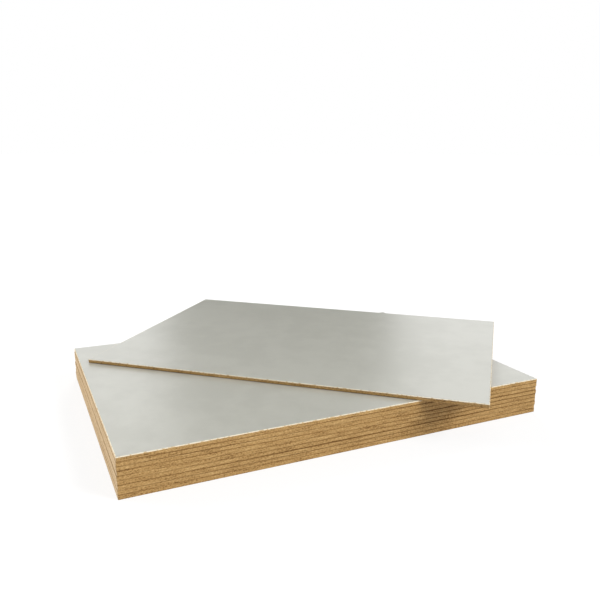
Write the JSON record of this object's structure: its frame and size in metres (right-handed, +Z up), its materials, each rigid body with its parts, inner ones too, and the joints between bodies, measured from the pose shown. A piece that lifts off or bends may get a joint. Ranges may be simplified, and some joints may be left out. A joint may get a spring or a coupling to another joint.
{
  "type": "stack of hardboard sheets",
  "caption": "Squared pile of thin, flat hardboard sheets with pale coated faces and brown sawn edges, and a loose sheet lying askew on top.",
  "frame": {"origin": "centre of the bottom sheet's underside, where the stack rests on the floor", "axes": "+X along the pile's long side, +Y along its short side towards the back, +Z up"},
  "size_m": [0.5204, 0.5005, 0.04],
  "materials": {
    "hardboard": "pale warm-grey satin coat on the face, over brown pressed fibre that shows on the sawn edges"
  },
  "bodies": {
    "root": {"pile_sheet_01": "hardboard", "pile_sheet_02": "hardboard", "pile_sheet_03": "hardboard", "pile_sheet_04": "hardboard", "pile_sheet_05": "hardboard", "pile_sheet_06": "hardboard", "pile_sheet_07": "hardboard", "pile_sheet_08": "hardboard", "pile_sheet_09": "hardboard", "askew_sheet": "hardboard"}
  },
  "joints": []
}
